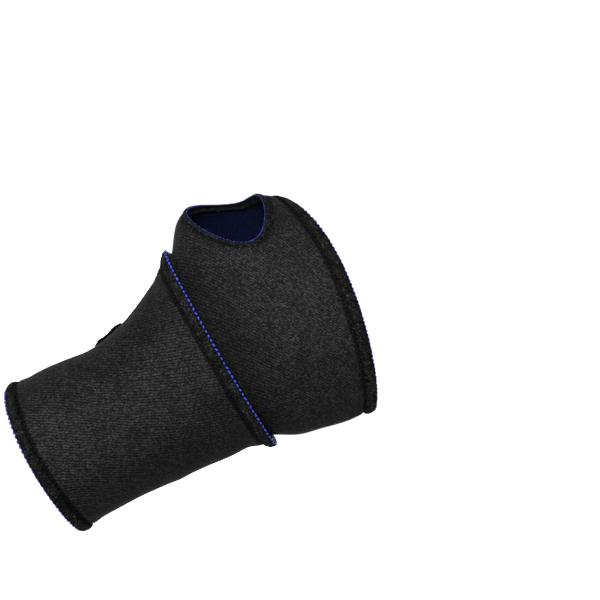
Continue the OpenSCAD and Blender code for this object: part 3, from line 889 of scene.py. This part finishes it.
def edge_set(name, path, way, part, rises, nodes, threads, width=EDGE_W, blue_pitch=2.1, blue_r=0.36,
             closed=False, bulk=1.0, blue=blue_place):
    """An overlocked edge: the roll, its looper and needle threads, and stray fibres."""
    edge = roll(f"{name}_overlock", path, way, OVERLOCK, width=width, closed=closed, bulk=bulk, **rises)
    place(edge, part, "black_overlock", *nodes)
    # The blue looper thread locks the stitches along the very edge.
    c, along, out, _, p = along_path(path, way, lambda p: blue(p)[0], lambda p: blue(p)[1], blue_pitch)
    o = beads(f"{name}_looper", c, along, out, BLUE_THREAD, blue_pitch * 0.7, blue_r, squash=0.85, jitter=0.2,
              seed=31, grow=blue(p)[2])
    place(o, part, "blue_thread", *threads)
    # The needle thread's stitches lie in the groove on the outer face.
    c, along, out, _, _ = along_path(path, way, width + 0.35, T - 0.55 * bulk, STITCH, phase=0.6)
    o = beads(f"{name}_needle", c, along, out, BLACK_THREAD, STITCH * 0.8, 0.28, squash=0.8, jitter=0.12,
              seed=32)
    place(o, part, "black_overlock")

    def spots(p):
        """How far in from the edge each stray fibre stands."""
        return np.random.default_rng(sum(map(ord, name))).uniform(0.04, 0.8, len(p)) * width
    c, _, out, inner, p = along_path(path, way, spots, 0.0, FUZZ_PITCH)
    far = spots(p)
    c = c + out * roll_height(far, value_at(rises.get("up", RISE), p), width).reshape(-1, 1)
    o = hairs(f"{name}_fuzz", c, out - (0.5 - far / width)[:, None] * inner * 2, FUZZ,
              int(len(c) * FUZZ_SHARE), FUZZ_LENGTH, FUZZ_R, 41)
    place(o, part, "black_overlock")


for edge in EDGES:
    edge_set(*edge)

# ---------------------------------------------------------------- thumb hole

def hole_path(r):
    a = np.linspace(0, 2 * math.pi, 361)
    z, side = THUMB_Z + r * np.sin(a), r * np.cos(a)
    return np.stack([turn_at(z, np.full_like(z, T / 2), side), z], 1)


edge_set("thumb_hole", hole_path(RIM_R), -1, "brace", dict(up=0.35, down=0.3, seed=26),
         ["thumb_hole_overlock"], ["thumb_hole_thread"], width=2.3, blue_pitch=1.4, blue_r=0.17, closed=True,
         bulk=0.5, blue=lambda p: (np.full(len(p), 0.1), np.full(len(p), T - 0.6), 1.0))

# ---------------------------------------------------------------- hook and loop

# Where the two pads lie, from one turn to another and from one height to another.
LOOP_AT = (462.0, 524.0, 28.0, 64.0)
HOOK_AT = (831.0, 859.0, 40.0, 56.0)


def pad(name, at, h0, h1, mat, part, slot_name, *nodes):
    """A thin closed pad on the band, from height h0 to h1, with softened edges at h1."""
    t, z = np.meshgrid(np.linspace(at[0], at[1], 60), np.linspace(at[2], at[3], 50), indexing="ij")
    edge = np.minimum(np.minimum(t - at[0], at[1] - t) * 0.6, np.minimum(z - at[2], at[3] - z))
    sink = (abs(h1 - h0) * 0.35) * np.exp(-edge / 0.35)
    faces = [band(t, z, h1 - np.sign(h1 - h0) * sink).reshape(-1, 3), band(t, z, h0).reshape(-1, 3)]
    quads = thickened(grid_quads(*t.shape), t.size)[0]
    if h1 < h0:
        quads = quads[:, ::-1]
    uv = np.stack([arc(t, z), z], -1).reshape(-1, 2)
    o = make(name, np.concatenate(faces), quads, uv=np.tile(uv, (2, 1)), mat=mat)
    return place(o, part, slot_name, *nodes)


LOOP_SHAPE = [(-1, 0), (-1.1, 0.55), (-0.6, 0.95), (0.1, 1.0), (0.8, 0.75), (1.0, 0.2)]
HOOK_SHAPE = [(0, 0), (0, 0.5), (0.1, 0.8), (0.55, 1.0), (1.0, 0.85), (1.05, 0.55)]
BARE = 3.5


def tufts(name, at, h, way, spacing, height, radius, mat, hook, seed):
    """Rows of small loops, or of hooks, standing on the band inside a bare margin."""
    r = np.random.default_rng(seed)
    k = float(mm_a_degree(np.array([(at[0] + at[1]) / 2]), np.array([45.0]))[0])
    t = np.arange(at[0] + BARE / k, at[1] - (BARE - 0.5) / k, spacing / k)
    z = np.arange(at[2] + BARE, at[3] - (BARE - 0.5), spacing)
    t, z = (v.ravel() for v in np.meshgrid(t, z, indexing="ij"))
    n = len(t)
    if hook:
        shape, spread, lean, sizes = HOOK_SHAPE, 0.35, np.zeros(n), height
    else:
        t, z = t + r.normal(0, 0.25 / k, n), z + r.normal(0, 0.25, n)
        shape, spread, lean = LOOP_SHAPE, 0.45, r.uniform(0, 2 * math.pi, n)
        sizes = height * r.uniform(0.6, 1.1, n)
    line = [band(t + x * spread * np.cos(lean) / k, z + x * spread * np.sin(lean), h + way * y * sizes)
            for x, y in shape]
    line = np.stack(line, 1)
    tangent = unit(np.gradient(line, axis=1))
    across = unit(np.cross(tangent, band(t, z + 0.1, h)[:, None] - band(t, z, h)[:, None] + 1e-6))
    other = np.cross(tangent, across)
    points = np.stack([line + (across * math.cos(a) + other * math.sin(a)) * radius
                       for a in np.radians([0, 90, 180, 270])], 2)
    m = len(shape)
    quads = repeated(grid_quads(m, 4, wrap=True), n, m * 4)
    uv = np.stack([np.repeat(np.arange(n) * 0.53, m * 4), np.tile(np.repeat(np.arange(m) * 0.3, 4), n)], -1)
    return make(name, points, quads, uv=uv, mat=mat)


def box_stitching(name, at, inset, h, part, mat, *nodes):
    """A line of stitches round a pad."""
    t0, t1, z0, z1 = at[0] + inset / 0.55, at[1] - inset / 0.55, at[2] + inset, at[3] - inset
    path = [(t0, z0), (t1, z0), (t1, z1), (t0, z1), (t0, z0)]
    dense = np.concatenate([np.linspace(path[i], path[i + 1], 60)[:-1] for i in range(4)] + [[path[4]]])
    c, along, out, _, _ = along_path(dense, 1, 0.0, h, 2.1)
    o = beads(name, c, along, out, mat, 1.75, 0.26, squash=0.8, jitter=0.04, seed=61)
    return place(o, part, "black_stitching", *nodes)


pad("loop_patch_base", LOOP_AT, T - 0.1, T + 0.55, PILE, "brace", "loop_pile", "loop_patch")
loops = tufts("loop_patch_pile", LOOP_AT, T + 0.5, 1, 0.95, 0.6, 0.09, PILE, False, 71)
place(loops, "brace", "loop_pile")
box_stitching("loop_patch_stitches", LOOP_AT, 1.7, T + 0.62, "brace", BLACK_THREAD, "loop_patch_stitching")

pad("hook_strip_base", HOOK_AT, 0.1, -0.6, HOOK, "rigid_tab", "hook_plastic", "hook_strip")
hooks = tufts("hook_strip_hooks", HOOK_AT, -0.55, -1, 1.25, 0.85, 0.13, HOOK, True, 72)
place(hooks, "rigid_tab", "hook_plastic")
box_stitching("hook_strip_stitches", HOOK_AT, 0.8, T + 0.1, "rigid_tab", BLACK_THREAD, "hook_strip_stitching")
box_stitching("hook_strip_inner_stitches", HOOK_AT, 1.7, -0.7, "rigid_tab", BLACK_THREAD)

# ---------------------------------------------------------------- studio

# The camera looks level at the palm and is rolled so that the fingers are to the upper right.
AIM = Vector((-0.0045, 0.0, 0.129))
RIGHT, UP, BACK = Vector((0.5, 0.0, 0.8660254)), Vector((-0.8660254, 0.0, 0.5)), Vector((0.0, -1.0, 0.0))
DISTANCE, LENS, SENSOR = 0.603, 85.0, 36.0

cam = bpy.data.objects.new("camera", bpy.data.cameras.new("camera"))
bpy.context.scene.collection.objects.link(cam)
cam.data.sensor_width = SENSOR
cam.data.lens = LENS
cam.data.clip_start, cam.data.clip_end = 0.01, 100.0
cam.location = AIM + BACK * DISTANCE
cam.rotation_mode = "QUATERNION"
cam.rotation_quaternion = Matrix((RIGHT, UP, BACK)).transposed().to_quaternion()
bpy.context.scene.camera = cam


def studio_material(name, value, glow):
    g = Graph(name)
    t = g.node("ShaderNodeTexCoord")
    level = g.noise(t.outputs["Object"], 3.0)
    g.bsdf.inputs["Emission Color"].default_value = (1, 1, 1, 1)
    g.bsdf.inputs["Emission Strength"].default_value = glow
    return g.finish(g.mix(level, (value,) * 3, (value * 0.985,) * 3), 0.9, specular=0.1)


FLOOR_R, CURVE_R, WALL_TOP = 6.0, 2.4, 3.6
CURVE_STEPS, FLOOR_SIDES = 24, 96


def floor_and_backdrop():
    """A round floor that curves up into a low wall a long way off."""
    bend = [math.pi / 2 * i / CURVE_STEPS for i in range(1, CURVE_STEPS + 1)]
    profile = [(0.0001, 0.0), (1.0, 0.0), (FLOOR_R, 0.0)]
    profile += [(FLOOR_R + CURVE_R * math.sin(a), CURVE_R - CURVE_R * math.cos(a)) for a in bend]
    profile += [(FLOOR_R + CURVE_R, WALL_TOP)]
    around = np.arange(FLOOR_SIDES) * 2 * math.pi / FLOOR_SIDES
    points = np.array([[(r * math.cos(a), r * math.sin(a), z) for a in around] for r, z in profile]) / MM
    return make("floor", points, grid_quads(len(profile), FLOOR_SIDES, wrap=True)[:, ::-1],
                mat=studio_material("studio_white", 0.5, 0.78))


floor = floor_and_backdrop()

world = bpy.data.worlds.new("world")
bpy.context.scene.world = world
world.use_nodes = True
background = world.node_tree.nodes["Background"]
background.inputs["Color"].default_value = (1, 1, 1, 1)
background.inputs["Strength"].default_value = 0.25
bpy.context.scene.view_settings.view_transform = "Standard"


def area_light(name, at, size, power):
    lamp = bpy.data.lights.new(name, "AREA")
    lamp.size = size
    lamp.energy = power
    o = bpy.data.objects.new(name, lamp)
    bpy.context.scene.collection.objects.link(o)
    o.location = at
    o.rotation_mode = "QUATERNION"
    o.rotation_quaternion = (AIM - Vector(at)).to_track_quat("-Z", "Y")


area_light("key", (-0.6, -1.05, 0.15), 0.7, 44.0)
area_light("fill", (0.6, -0.9, 0.9), 1.0, 1.0)
area_light("top", (0.0, 0.2, 1.2), 1.0, 5.0)
area_light("behind", (0.15, 1.25, 0.45), 0.8, 40.0)
